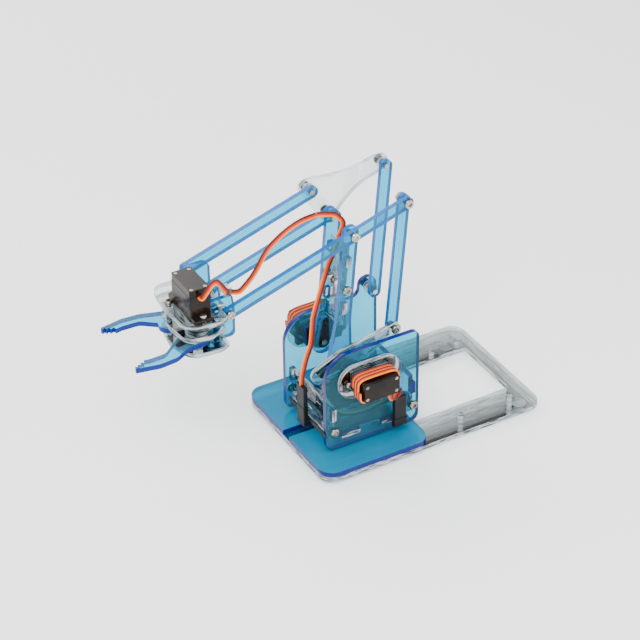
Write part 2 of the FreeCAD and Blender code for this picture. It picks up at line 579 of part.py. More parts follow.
# ---------------------------------------------------------------- levelling linkage
rl = hull2(P, LINK_W / 2, T2, LINK_W / 2, "xz", FL)
rl = cut(rl, rod("y", P, PIN_R, FL[0] - 1, FL[1] + 1), rod("y", T2, PIN_R, FL[0] - 1, FL[1] + 1))
save("rear_link", rl)
tl = hull2(T1, LINK_W / 2, G2, LINK_W / 2, "xz", FL)
tl = cut(tl, rod("y", T1, PIN_R, FL[0] - 1, FL[1] + 1), rod("y", G2, PIN_R + OPEN, FL[0] - 1, FL[1] + 1))
save("top_link", tl)
save("rear_link_screws",
     screw((0, 1, 0), V(P[0], FP[0] - 0.35, P[1]), FL[1] - FP[0] + 0.35),
     screw((0, 1, 0), V(T2[0], TR[0] - 0.35, T2[1]), FL[1] - TR[0] + 0.35))
save("top_link_screw", screw((0, 1, 0), V(T1[0], TR[0] - 0.35, T1[1]), FL[1] - TR[0] + 0.35))


def ring(c, ro, ri, lo, hi):
    return cut(rod("y", c, ro, lo, hi), rod("y", c, ri, lo - 1, hi + 1))


save("fin_spacer", ring(P, 3.3, PIN_R + 0.3, FP[1], FL[0] - 0.35))
save("elbow_plate_spacers", ring(T1, 3.3, PIN_R + 0.3, TR[1], FL[0] - 0.35), ring(T2, 3.3, PIN_R + OPEN, TR[1], FL[0] - 0.35))


def tri_plate():
    """clear plate with three round lobes and hollow edges"""
    lobes = [(E, 4.9), (T1, 4.4), (T2, 4.2)]
    s = None
    for (a, ra), (b, rb) in ((lobes[0], lobes[1]), (lobes[1], lobes[2]), (lobes[2], lobes[0])):
        h = hull2(a, ra, b, rb, "xz", TR)
        s = h if s is None else s.fuse(h)
    core = Part.Face(Part.makePolygon([V(E[0], TR[0], E[1]), V(T1[0], TR[0], T1[1]), V(T2[0], TR[0], T2[1]), V(E[0], TR[0], E[1])])).extrude(V(0, 3, 0))
    s = s.fuse(core).removeSplitter()

    # hollow out the long edges with large discs, leaving the lobes

    def hollow(a, ra, b, rb, depth, ext):
        mx, mz = (a[0] + b[0]) / 2, (a[1] + b[1]) / 2
        dx, dz = b[0] - a[0], b[1] - a[1]
        d = math.hypot(dx, dz)
        nx, nz = dz / d, -dx / d
        if (mx + nx * 10 - cen[0]) ** 2 + (mz + nz * 10 - cen[1]) ** 2 < (mx - nx * 10 - cen[0]) ** 2 + (mz - nz * 10 - cen[1]) ** 2:
            nx, nz = -nx, -nz
        half = d / 2 - ext
        edge = (ra + rb) / 2
        rad = (half * half + depth * depth) / (2 * depth)
        c = (mx + nx * (edge - depth + rad), mz + nz * (edge - depth + rad))
        return rod("y", c, rad, TR[0] - 1, TR[1] + 1)
    cen = ((E[0] + T1[0] + T2[0]) / 3, (E[1] + T1[1] + T2[1]) / 3)
    s = s.cut(hollow(T1, 4.4, T2, 4.2, 2.6, 5.0))
    s = s.cut(hollow(T2, 4.2, E, 4.9, 3.0, 5.0))
    s = cut(s, rod("y", E, PIN_R + RUN, TR[0] - 1, TR[1] + 1), rod("y", T1, PIN_R + RUN, TR[0] - 1, TR[1] + 1),
            rod("y", T2, PIN_R + OPEN, TR[0] - 1, TR[1] + 1))
    return s.removeSplitter()


save("elbow_plate", tri_plate())

# ---------------------------------------------------------------- gripper
JZ = (101.2, 104.2)          # jaws
BZ = (97.6, 100.6)           # lower plate
MZ = (105.6, 108.6)          # middle plate
TZ = (113.6, 116.6)          # servo plate
FJ = (95.6, -5.2)            # far jaw pivot
NJ = (GS[0], GS[1])          # near jaw pivot, the servo shaft
GX0, GX1 = W[0] - 4.6, 80.0
near_g = slab([(GX0, 94.5, 3), (GX1, 94.5, 1.5), (GX1, TZ[1] + 3.4, 1.5), (GX0 + 1.0, TZ[1] + 3.4, 0.8), (GX0, W[1] + 2, 2)], "xz", NU)
far_g = slab([(GX0, 94.5, 3), (GX1, 94.5, 1.5), (GX1, 124.0, 1.5), (G2[0] + 4.0, 126.6, 3.5), (G2[0] + 4.0, G2[1] + 3.7, 3.8),
              (GX0 + 5.6, G2[1] + 3.7, 4), (GX0 + 5.6, 118.0, 3), (GX0, W[1] + 3.5, 2)], "xz", GF)
TABS = ((BZ, (70.5, 77.5)), (MZ, (70.5, 77.5)), (TZ, (70.5, 77.5)))
for z, x in TABS:
    near_g = cut(near_g, box(x[0], x[1], NU[0] - 1, NU[1] + 1, *z))
    far_g = cut(far_g, box(x[0], x[1], GF[0] - 1, GF[1] + 1, *z))
near_g = cut(near_g, rod("y", W, PIN_R, NU[0] - 1, NU[1] + 1))
far_g = cut(far_g, rod("y", W, PIN_R, GF[0] - 1, GF[1] + 1), rod("y", G2, PIN_R, GF[0] - 1, GF[1] + 1))
save("gripper_near_plate", near_g)
save("gripper_far_plate", far_g)

# clear decks between the two gripper plates, tabbed through them
GSX0, GSX1 = GS[0] - SV_W / 2, GS[0] + SV_W / 2          # servo body, x
GSY0, GSY1 = GS[1] + SX0, GS[1] + SX1                    # servo body, y


DECK_X = W[0] + 5.2          # decks clear the forearm ends outside the plates


def deck(outl, z, windows):
    s = slab(outl, "xy", z)
    # open the deck beside the plates, leaving the tab that passes through them
    for a, b in (NU, GF):
        s = cut(s, box(60, 70.5, a, b, z[0] - 1, z[1] + 1), box(77.5, GX1, a, b, z[0] - 1, z[1] + 1))
    for a, b in ((NU[1], 40), (-40, GF[0])):
        s = cut(s, box(50, DECK_X, a, b, z[0] - 1, z[1] + 1))
    for w_ in windows:
        s = cut(s, w_)
    return s


top_out = [(70.5, -13.5, 3), (78, -15, 6), (82, -24.0, 5.5), (96.8, -24.0, 7.2), (99.3, -4, 10),
           (98.6, 17.5, 9), (92, 23.5, 6), (76, 23.2, 6), (70.5, 15.5, 4)]
save("gripper_servo_plate", deck(top_out, TZ, [
    box(GSX0 - 0.15, GSX1 + 0.15, GSY0 - 0.15, GSY1 + 0.15, TZ[0] - 1, TZ[1] + 1),
    rod("z", (GS[0], GS[1] + SX0 - 2.4), 0.9, TZ[0] - 1, TZ[1] + 1),
    rod("z", (GS[0], GS[1] + SX1 + 2.4), 0.9, TZ[0] - 1, TZ[1] + 1),
    rod("z", FJ, PIN_R, TZ[0] - 1, TZ[1] + 1)]))
mid_out = [(70.5, -13.0, 3), (84, -14, 5), (97.5, -13, 6), (100.0, 3, 10), (98.0, 20.5, 8), (84, 23.0, 6), (70.5, 15.5, 4)]
save("gripper_middle_plate", deck(mid_out, MZ, [
    rod("z", NJ, 6.4, MZ[0] - 1, MZ[1] + 1), rod("z", FJ, PIN_R, MZ[0] - 1, MZ[1] + 1)]))
low_out = [(70.5, -15.0, 4), (84, -15, 6), (98.0, -13, 7), (101.5, 6, 10), (97.5, 23.5, 9), (80, 25.0, 7), (68.5, 19.5, 5)]
save("gripper_lower_plate", deck(low_out, BZ, [
    rod("z", NJ, 2.6, BZ[0] - 1, BZ[1] + 1), rod("z", FJ, PIN_R, BZ[0] - 1, BZ[1] + 1)]))

save("gripper_pivot_screws",
     screw((0, 0, -1), V(FJ[0], FJ[1], TZ[1]), TZ[1] - BZ[0] - 0.2, 2.2, 1.8),
     screw((0, -1, 0), V(W[0], NF[1] + 0.35, W[1]), NF[1] + 0.35 - NU[0] + 0.3),
     screw((0, 1, 0), V(W[0], FF[0] - 0.35, W[1]), GF[1] - FF[0] + 0.65),
     screw((0, 1, 0), V(G2[0], FL[0] - 0.35, G2[1]), GF[1] - FL[0] + 0.35 - 0.3))
save("wrist_spacer", ring(W, 3.3, PIN_R, FF[1] + 0.4, GF[0]))
save("gripper_servo_screws", *[put(lid_screw(c), *SERVOS["gripper"]) for c in LID_SCREWS],
     screw((0, 0, -1), V(GS[0], GS[1] + SX0 - 2.4, TZ[1] + EAR_T), 5.4, 1.9, 1.3, 0.9, 0.7),
     screw((0, 0, -1), V(GS[0], GS[1] + SX1 + 2.4, TZ[1] + EAR_T), 5.4, 1.9, 1.3, 0.9, 0.7))

# jaws: curved fingers with toothed sectors that mesh between the two pivots
DIST = math.hypot(FJ[0] - NJ[0], FJ[1] - NJ[1])
NT = 16                       # teeth on a full circle
MOD = DIST / NT
axis_ang = math.atan2(FJ[1] - NJ[1], FJ[0] - NJ[0])


def sector(c, face_ang, half_deg, phase):
    """toothed sector facing face_ang; phase 0 puts a tooth on the line of centres"""
    pr = DIST / 2
    ra, rf = pr + 0.78 * MOD, pr - 1.0 * MOD
    step = 2 * math.pi / NT
    pts = []
    k0 = int(half_deg / math.degrees(step))
    for k in range(-k0, k0 + 1):
        a = face_ang + (k + phase) * step
        for f, rr in ((-0.5, rf), (-0.31, rf), (-0.225, pr), (-0.12, ra), (0.12, ra), (0.225, pr), (0.31, rf)):
            t = a + f * step
            pts.append(V(c[0] + rr * math.cos(t), c[1] + rr * math.sin(t), JZ[0]))
    pts.append(V(c[0] + 1.0 * math.cos(face_ang + math.pi), c[1] + 1.0 * math.sin(face_ang + math.pi), JZ[0]))
    pts.append(pts[0])
    w = Part.makePolygon(pts)
    s = Part.Face(w).extrude(V(0, 0, JZ[1] - JZ[0]))
    # keep the toothed side only within the sector
    return join(s, rod("z", c, 6.2, *JZ))


def finger(base_c, pts):
    return slab(pts, "xy", JZ)


near_f = finger(NJ, [(84.0, 13.5, 2), (84.2, 19.6, 1.0), (89.0, 20.2, 2), (97.5, 20.6, 8), (106.0, 25.6, 9), (116.5, 26.6, 8), (129.5, 24.0, 0.5),
                     (129.1, 21.6, 0.4), (127.7, 22.9, 0.2), (127.1, 20.7, 0.4), (125.6, 22.0, 0.2), (124.9, 19.8, 0.4), (123.4, 21.1, 0.2),
                     (122.6, 18.9, 0.4), (119.0, 19.6, 3), (110.0, 19.2, 6), (100.5, 11.2, 5), (94.6, 8.2, 2), (91, 12, 1)])
near_j = join(near_f, sector(NJ, axis_ang, 55, 0.0), rod("z", NJ, 6.2, *JZ))
tip_ang = math.radians(22.0)
hn = horn(SV_BOSS + 0.5, GS[2] - (JZ[1] - 1.5), GS[2] - JZ[1] - 0.0, GS[2] - (JZ[1] - 1.5), 0)
# local x is +Y, local y = z cross x = (0,0,-1) x (0,1,0) = +X
ang_local = math.degrees(math.atan2(math.cos(tip_ang), math.sin(tip_ang)))
hn = horn(SV_BOSS + 0.5, GS[2] - (JZ[1] - 1.5), GS[2] - JZ[1], GS[2] - (JZ[1] - 1.5), ang_local)
save("gripper_horn", put(hn, *SERVOS["gripper"]))
hp = hull2(NJ, 3.5, (NJ[0] + 14.3 * math.cos(tip_ang), NJ[1] + 14.3 * math.sin(tip_ang)), 1.9, "xy", (JZ[1] - 1.5, JZ[1] + 1))
near_j = cut(near_j, hp, rod("z", NJ, 1.0, JZ[0] - 1, JZ[1] + 1))
save("near_jaw", near_j)
zs = JZ[0]
js = join(rod("z", NJ, 1.9, zs - 1.3, zs), rod("z", NJ, 0.9, zs - 0.1, GS[2] - SV_TIP + 2.9))
save("near_jaw_screw", cut(js, box(NJ[0] - 1.4, NJ[0] + 1.4, NJ[1] - 0.25, NJ[1] + 0.25, zs - 2, zs - 0.8),
                           box(NJ[0] - 0.25, NJ[0] + 0.25, NJ[1] - 1.4, NJ[1] + 1.4, zs - 2, zs - 0.8)))
far_f = finger(FJ, [(88.5, -9.5, 2), (89.0, -15.2, 2), (97.0, -17.6, 5), (106.0, -20.6, 9), (116.5, -21.4, 8), (129.5, -19.2, 0.5),
                    (129.1, -16.8, 0.4), (127.7, -18.1, 0.2), (127.1, -15.9, 0.4), (125.6, -17.2, 0.2), (124.9, -15.0, 0.4), (123.4, -16.3, 0.2),
                    (122.6, -14.1, 0.4), (119.0, -14.8, 3), (109.0, -14.4, 6), (101.5, -8.2, 5), (97.4, -3.2, 2), (93, -4.0, 1)])
far_j = join(far_f, sector(FJ, axis_ang + math.pi, 55, 0.5), rod("z", FJ, 6.2, *JZ))
far_j = cut(far_j, rod("z", FJ, PIN_R + RUN, JZ[0] - 1, JZ[1] + 1))
save("far_jaw", far_j)

# clip that holds the gripper lead on the near plate
clip = ring((68.8, 123.6), 3.4, 2.2, NU[0], NU[1])
clip = join(clip, box(67.2, 70.4, NU[0], NU[1], TZ[1] + 3.4, TZ[1] + 5.4))
clip = cut(clip, rod("y", (68.8, 123.6), 2.2, NU[0] - 1, NU[1] + 1))
save("cable_clip", clip)

# ---------------------------------------------------------------- leads and plugs
front_plug = (rbox(20.9, 23.5, 1.6, 9.4, 28.5, 42.5, 0.5))
front_sock = (rbox(20.7, 23.7, 1.4, 9.6, 16.3, 28.5, 0.5))
near_plug = (rbox(-28.4, -20.8, 31.6, 34.2, 20.2, 34.7, 0.5))
near_sock = (rbox(-28.8, -20.4, 31.2, 34.6, 15.4, 20.2, 0.5))

# flat strip that carries the front connector, against the near side plate's front edge
strip = box(CX1, CX1 + 0.7, -13.0, NP[1], 19.6, 22.4)
save("lead_connectors", front_plug, near_plug, front_sock, near_sock, strip)

GL_R = 1.45
save("gripper_lead_start", lead([(87.6, 16.7, 130.6), (87.6, 20.2, 130.6), (84.6, 22.0, 136.6), (79.6, 19.4, 138.0),
                                 (73.8, 16.0, 130.8), (68.8, 12.6, 123.6), (68.8, 5.4, 123.6)], GL_R, "gripper"))


def fore(s, up, y):
    """point s mm from the elbow towards the wrist, up mm above the forearm's line"""
    return (E[0] + FW[0] * s - FW[1] * up, y, E[1] + FW[1] * s + FW[0] * up)


save("gripper_lead_forearm", lead([fore(68, 3.4, 4.2), fore(58, 4.2, 2.2), fore(48.5, 9.8, 0.2), fore(37, 14.4, -1.6),
                                   fore(23, 15.2, -2.8), fore(11, 14.6, -1.6), fore(3.0, 11.0, 2.0)], GL_R, "forearm"))


def arm3(s, fw, y):
    q = arm_at(s, fw)
    return (q[0], y, q[1])


save("gripper_lead_arm", lead([arm3(77, 4.6, 4.8), arm3(69, 5.6, 4.5), arm3(61, 8.8, 4.0), arm3(50, 11.4, 4.0),
                               arm3(38, 14.0, 4.0), arm3(27, 16.2, 4.0)], GL_R, "arm"))
plug_end = (lead([(19.0, 5.0, 59.0), (21.2, 5.4, 52.0), (22.2, 5.5, 47.6), (22.2, 5.5, 42.5)], GL_R, "plug"))


def coil(xc0, xc1, zc0, zc1, th, span, r):
    o = slab([(xc0 - th, zc0 - th, r), (xc1 + th, zc0 - th, r), (xc1 + th, zc1 + th, r), (xc0 - th, zc1 + th, r)], "xz", span)
    i = slab([(xc0, zc0, 0.7), (xc1, zc0, 0.7), (xc1, zc1, 0.7), (xc0, zc1, 0.7)], "xz", (span[0] - 1, span[1] + 1))
    return o.cut(i)


bz0, bz1 = S[1] - SV_W / 2, S[1] + SV_W / 2
near_coil = coil(SX0, SX1, bz0, bz1, 3.4, (35.5, 43.5), 3.6)
far_coil = coil(SX0, SX1, bz0, bz1, 3.4, (-36.0, -28.0), 3.6)
yaw_lead = lead([(YAW_X + SX1, 0.0, 33.0), (6.6, 0.0, 33.0), (9.2, 5.0, 32.4), (9.4, 11.0, 30.0), (7.4, 17.0, 26.5), (3.0, 20.6, 25.0), (0.0, 21.6, 25.0), (0.0, 25.3, 25.0)], GL_R, "yaw")
near_drop = lead([(-14.0, 39.0, bz0 - 3.4), (-14.0, 39.0, 41.4), (-17.6, 38.0, 38.4), (-21.8, 35.6, 39.6), (-24.6, 32.9, 38.6), (-24.6, 32.9, 34.7)], GL_R, "near drop")
save("turret_leads", near_coil, far_coil, plug_end, yaw_lead, near_drop)

# ---------------------------------------------------------------- report
print("nodes", len(made))
bb = None
for n_, s_ in made.items():
    bb = s_.BoundBox if bb is None else bb.united(s_.BoundBox)
print("box", bb)
for k_, v_ in (("S", S), ("E", E), ("W", W), ("R", R), ("L", L), ("T1", T1), ("T2", T2), ("G2", G2), ("P", P), ("FJ", FJ), ("NJ", NJ)):
    if k_ in ("FJ", "NJ"):
        print(k_, round(v_[0] + SHIFT.x, 3), round(v_[1], 3))
    else:
        print(k_, round(v_[0] + SHIFT.x, 3), round(v_[1] + SHIFT.z, 3))
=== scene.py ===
import bpy
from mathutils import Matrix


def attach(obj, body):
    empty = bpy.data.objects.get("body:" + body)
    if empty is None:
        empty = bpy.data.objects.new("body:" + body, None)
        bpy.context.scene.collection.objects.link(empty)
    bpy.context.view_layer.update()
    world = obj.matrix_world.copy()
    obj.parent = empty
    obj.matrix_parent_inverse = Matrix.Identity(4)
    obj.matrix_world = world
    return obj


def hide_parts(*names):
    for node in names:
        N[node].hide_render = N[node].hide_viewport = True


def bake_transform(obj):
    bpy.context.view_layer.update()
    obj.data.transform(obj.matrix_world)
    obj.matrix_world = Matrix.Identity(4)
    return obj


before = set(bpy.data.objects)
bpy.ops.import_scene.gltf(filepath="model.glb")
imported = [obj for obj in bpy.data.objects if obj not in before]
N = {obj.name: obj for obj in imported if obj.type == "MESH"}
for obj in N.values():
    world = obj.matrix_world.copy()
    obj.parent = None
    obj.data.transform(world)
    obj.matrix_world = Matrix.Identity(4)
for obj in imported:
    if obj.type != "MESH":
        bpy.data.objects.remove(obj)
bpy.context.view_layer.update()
import bpy, math
from mathutils import Vector, Matrix

DX, DY = -0.0076, 0.00055          # shoulder axis in the row frame
def P(x, y, z):
    return Vector((x / 1000 + DX, y / 1000 + DY, z / 1000))

# ------------------------------------------------------------------ materials
class Mat:
    def __init__(self, name):
        self.m = bpy.data.materials.new(name)
        self.m.use_nodes = True
        self.nt = self.m.node_tree
        self.nt.nodes.clear()
        self.out = self.nt.nodes.new("ShaderNodeOutputMaterial")

    def node(self, kind, **vals):
        n = self.nt.nodes.new(kind)
        for k, v in vals.items():
            if k in n.inputs:
                n.inputs[k].default_value = v
            else:
                setattr(n, k, v)
        return n

    def link(self, a, b):
        self.nt.links.new(a, b)


def noise_col(M, scale, a, b, detail=4.0):
    """colour that drifts between a and b with position"""
    geo = M.node("ShaderNodeTexCoord")
    n = M.node("ShaderNodeTexNoise", Scale=scale, Detail=detail)
    M.link(geo.outputs["Object"], n.inputs["Vector"])
    r = M.node("ShaderNodeValToRGB")
    r.color_ramp.elements[0].position = 0.35
    r.color_ramp.elements[0].color = (*a, 1)
    r.color_ramp.elements[1].position = 0.65
    r.color_ramp.elements[1].color = (*b, 1)
    M.link(n.outputs["Fac"], r.inputs["Fac"])
    return r.outputs["Color"], n.outputs["Fac"]


def bump(M, bsdf, scale, strength, dist=0.0002, stretch=None):
    tc = M.node("ShaderNodeTexCoord")
    src = tc.outputs["Object"]
    if stretch:
        mp = M.node("ShaderNodeMapping")
        mp.inputs["Scale"].default_value = stretch
        M.link(src, mp.inputs["Vector"])
        src = mp.outputs["Vector"]
    n = M.node("ShaderNodeTexNoise", Scale=scale, Detail=5.0)
    M.link(src, n.inputs["Vector"])
    b = M.node("ShaderNodeBump", Strength=strength, Distance=dist)
    M.link(n.outputs["Fac"], b.inputs["Height"])
    M.link(b.outputs["Normal"], bsdf.inputs["Normal"])


def acrylic(name, face, edge, normal, face_alpha, edge_alpha, rough=0.06):
    """laser-cut sheet: flat faces see through, cut edges carry the sheet's deep colour"""
    M = Mat(name)
    geo = M.node("ShaderNodeNewGeometry")
    tc = M.node("ShaderNodeTexCoord")
    dot = M.node("ShaderNodeVectorMath", operation="DOT_PRODUCT")
    M.link(geo.outputs["True Normal"], dot.inputs[0])
    dot.inputs[1].default_value = normal
    ab = M.node("ShaderNodeMath", operation="ABSOLUTE")
    M.link(dot.outputs["Value"], ab.inputs[0])
    onface = M.node("ShaderNodeMapRange")
    onface.inputs["From Min"].default_value = 0.80
    onface.inputs["From Max"].default_value = 0.985
    M.link(ab.outputs[0], onface.inputs["Value"])
    # faint streaks left by the laser on the cut edge
    mp = M.node("ShaderNodeMapping")
    mp.inputs["Scale"].default_value = (900, 60 if normal[1] else 900, 900 if normal[1] else 60)
    M.link(tc.outputs["Object"], mp.inputs["Vector"])
    ns = M.node("ShaderNodeTexNoise", Scale=1.0, Detail=3.0)
    M.link(mp.outputs["Vector"], ns.inputs["Vector"])
    haze = M.node("ShaderNodeTexNoise", Scale=35.0, Detail=5.0)
    M.link(tc.outputs["Object"], haze.inputs["Vector"])
    ecol = M.node("ShaderNodeValToRGB")
    ecol.color_ramp.elements[0].position = 0.3
    ecol.color_ramp.elements[0].color = (*[c * 0.75 for c in edge], 1)
    ecol.color_ramp.elements[1].position = 0.7
    ecol.color_ramp.elements[1].color = (*edge, 1)
    M.link(ns.outputs["Fac"], ecol.inputs["Fac"])
    fcol = M.node("ShaderNodeValToRGB")
    fcol.color_ramp.elements[0].position = 0.3
    fcol.color_ramp.elements[0].color = (*[c * 0.93 for c in face], 1)
    fcol.color_ramp.elements[1].position = 0.7
    fcol.color_ramp.elements[1].color = (*face, 1)
    M.link(haze.outputs["Fac"], fcol.inputs["Fac"])
    ru = M.node("ShaderNodeMapRange")
    ru.inputs["To Min"].default_value = rough
    ru.inputs["To Max"].default_value = rough + 0.10
    M.link(haze.outputs["Fac"], ru.inputs["Value"])
    # flat face: tinted see-through under a glossy coat
    tr = M.node("ShaderNodeBsdfTransparent")
    M.link(fcol.outputs["Color"], tr.inputs["Color"])
    body = M.node("ShaderNodeBsdfPrincipled")
    body.inputs["IOR"].default_value = 1.49
    body.inputs["Specular IOR Level"].default_value = 0.6
    M.link(fcol.outputs["Color"], body.inputs["Base Color"])
    M.link(ru.outputs["Result"], body.inputs["Roughness"])
    mf = M.node("ShaderNodeMixShader")
    mf.inputs[0].default_value = face_alpha
    M.link(tr.outputs[0], mf.inputs[1])
    M.link(body.outputs[0], mf.inputs[2])
    # cut edge
    eb = M.node("ShaderNodeBsdfPrincipled")
    M.link(ecol.outputs["Color"], eb.inputs["Base Color"])
    eb.inputs["Roughness"].default_value = 0.22
    eb.inputs["IOR"].default_value = 1.49
    eb.inputs["Specular IOR Level"].default_value = 0.22
    te = M.node("ShaderNodeBsdfTransparent")
    M.link(ecol.outputs["Color"], te.inputs["Color"])
    me = M.node("ShaderNodeMixShader")
    me.inputs[0].default_value = edge_alpha
    M.link(te.outputs[0], me.inputs[1])
    M.link(eb.outputs[0], me.inputs[2])
    mx = M.node("ShaderNodeMixShader")
    M.link(onface.outputs["Result"], mx.inputs[0])
    M.link(me.outputs[0], mx.inputs[1])
    M.link(mf.outputs[0], mx.inputs[2])
    M.link(mx.outputs[0], M.out.inputs["Surface"])
    return M.m


def clear_sheet(name, normal):
    """colourless sheet: see-through faces, cut edges painted with streaks of bright highlight and dark shade"""
    M = Mat(name)
    geo = M.node("ShaderNodeNewGeometry")
    tc = M.node("ShaderNodeTexCoord")
    dot = M.node("ShaderNodeVectorMath", operation="DOT_PRODUCT")
    M.link(geo.outputs["True Normal"], dot.inputs[0])
    dot.inputs[1].default_value = normal
    ab = M.node("ShaderNodeMath", operation="ABSOLUTE")
    M.link(dot.outputs["Value"], ab.inputs[0])
    onface = M.node("ShaderNodeMapRange")
    onface.inputs["From Min"].default_value = 0.80
    onface.inputs["From Max"].default_value = 0.985
    M.link(ab.outputs[0], onface.inputs["Value"])
    mp = M.node("ShaderNodeMapping")
    mp.inputs["Scale"].default_value = tuple(900 if k else 110 for k in normal)
    M.link(tc.outputs["Object"], mp.inputs["Vector"])
    ns = M.node("ShaderNodeTexNoise", Scale=1.0, Detail=3.0)
    M.link(mp.outputs["Vector"], ns.inputs["Vector"])
    # painted highlight and painted shade: the edge colour swings in streaks from near black to bright grey-white,
    # standing in for light glancing off and through the clear cut edge
    ecol = M.node("ShaderNodeValToRGB")
    ecol.color_ramp.elements[0].position = 0.40
    ecol.color_ramp.elements[0].color = (0.035, 0.05, 0.06, 1)
    ecol.color_ramp.elements[1].position = 0.56
    ecol.color_ramp.elements[1].color = (0.62, 0.70, 0.72, 1)
    M.link(ns.outputs["Fac"], ecol.inputs["Fac"])
    haze = M.node("ShaderNodeTexNoise", Scale=30.0, Detail=5.0)
    M.link(tc.outputs["Object"], haze.inputs["Vector"])
    fcol = M.node("ShaderNodeValToRGB")
    fcol.color_ramp.elements[0].color = (0.90, 0.94, 0.94, 1)
    fcol.color_ramp.elements[1].color = (0.97, 0.985, 0.98, 1)
    M.link(haze.outputs["Fac"], fcol.inputs["Fac"])
    tr = M.node("ShaderNodeBsdfTransparent")
    M.link(fcol.outputs["Color"], tr.inputs["Color"])
    gl = M.node("ShaderNodeBsdfGlossy")
    gl.inputs["Roughness"].default_value = 0.06
    fr = M.node("ShaderNodeFresnel", IOR=1.42)
    mf = M.node("ShaderNodeMixShader")
    M.link(fr.outputs[0], mf.inputs[0])
    M.link(tr.outputs[0], mf.inputs[1])
    M.link(gl.outputs[0], mf.inputs[2])
    eb = M.node("ShaderNodeBsdfPrincipled")
    M.link(ecol.outputs["Color"], eb.inputs["Base Color"])
    eb.inputs["Roughness"].default_value = 0.18
    te = M.node("ShaderNodeBsdfTransparent")
    te.inputs["Color"].default_value = (0.80, 0.86, 0.87, 1)
    me = M.node("ShaderNodeMixShader")
    me.inputs[0].default_value = 0.52
    M.link(te.outputs[0], me.inputs[1])
    M.link(eb.outputs[0], me.inputs[2])
    mx = M.node("ShaderNodeMixShader")
    M.link(onface.outputs["Result"], mx.inputs[0])
    M.link(me.outputs[0], mx.inputs[1])
    M.link(mf.outputs[0], mx.inputs[2])
    M.link(mx.outputs[0], M.out.inputs["Surface"])
    return M.m


YN, ZN, XN = (0, 1, 0), (0, 0, 1), (1, 0, 0)
BLUE = (0.24, 0.70, 0.86)
SKY_EDGE = (0.0, 0.12, 0.40)
ULTRA = (0.0, 0.008, 0.15)
CLEAR = (0.93, 0.965, 0.96)
CLEAR_EDGE = (0.20, 0.25, 0.26)
blue_link = acrylic("BlueLink", BLUE, SKY_EDGE, YN, 0.10, 0.85)
blue_side = acrylic("BlueSide", (0.28, 0.72, 0.86), ULTRA, YN, 0.06, 0.95)
blue_base = acrylic("BlueBase", (0.0, 0.44, 0.72), ULTRA, ZN, 0.34, 0.95)
blue_jaw = acrylic("BlueJaw", (0.22, 0.66, 0.86), (0.0, 0.02, 0.20), ZN, 0.14, 0.85)
blue_x = acrylic("BlueCross", (0.55, 0.84, 0.94), ULTRA, XN, 0.10, 0.8)
clear_z = clear_sheet("ClearDeck", ZN)
clear_y = clear_sheet("ClearPlate", YN)
clear_x = clear_sheet("ClearCross", XN)


def solid(name, a, b, rough, metal=0.0, scale=60.0, bscale=400.0, bstr=0.15, coat=0.0, alpha=None, stretch=None, spec=0.5):
    M = Mat(name)
    p = M.node("ShaderNodeBsdfPrincipled")
    c, f = noise_col(M, scale, a, b)
    M.link(c, p.inputs["Base Color"])
    p.inputs["Metallic"].default_value = metal
    r = M.node("ShaderNodeMapRange")
    r.inputs["To Min"].default_value = max(0.02, rough - 0.06)
    r.inputs["To Max"].default_value = rough + 0.10
    M.link(f, r.inputs["Value"])
    M.link(r.outputs["Result"], p.inputs["Roughness"])
    p.inputs["Specular IOR Level"].default_value = spec
    if coat:
        p.inputs["Coat Weight"].default_value = coat
    bump(M, p, bscale, bstr, stretch=stretch)
    if alpha is None:
        M.link(p.outputs[0], M.out.inputs["Surface"])
    else:
        t = M.node("ShaderNodeBsdfTransparent")
        t.inputs["Color"].default_value = (0.5, 0.42, 0.36, 1)
        m = M.node("ShaderNodeMixShader")
        m.inputs[0].default_value = alpha
        M.link(t.outputs[0], m.inputs[1])
        M.link(p.outputs[0], m.inputs[2])
        M.link(m.outputs[0], M.out.inputs["Surface"])
    return M.m


steel = solid("ZincSteel", (0.22, 0.20, 0.18), (0.46, 0.43, 0.39), 0.22, 1.0, 120, 900, 0.10)
smoke = solid("SmokedCase", (0.004, 0.0028, 0.002), (0.017, 0.010, 0.007), 0.16, 0.0, 70, 300, 0.06, alpha=0.93, spec=0.16)
brass = solid("BrassSpline", (0.58, 0.40, 0.13), (0.74, 0.54, 0.20), 0.30, 1.0, 200, 700, 0.10)
black = solid("BlackMoulding", (0.004, 0.004, 0.004), (0.009, 0.009, 0.010), 0.42, 0.0, 150, 900, 0.20, spec=0.18)
rubber = solid("ClearRubber", (0.62, 0.66, 0.66), (0.72, 0.76, 0.76), 0.45, 0.0, 80, 500, 0.15, alpha=0.55)
rubber.node_tree.nodes["Transparent BSDF"].inputs["Color"].default_value = (0.92, 0.95, 0.95, 1)
w_orange = solid("WireOrange", (0.74, 0.15, 0.0), (0.86, 0.21, 0.0), 0.46, 0.0, 90, 600, 0.12, spec=0.3)
w_red = solid("WireRed", (0.42, 0.016, 0.0), (0.52, 0.026, 0.001), 0.46, 0.0, 90, 600, 0.12, spec=0.3)
w_brown = solid("WireBrown", (0.060, 0.004, 0.001), (0.10, 0.008, 0.003), 0.46, 0.0, 90, 600, 0.12, spec=0.3)
copper = solid("PinTin", (0.55, 0.5, 0.4), (0.7, 0.65, 0.52), 0.3, 1.0, 200, 800, 0.1)

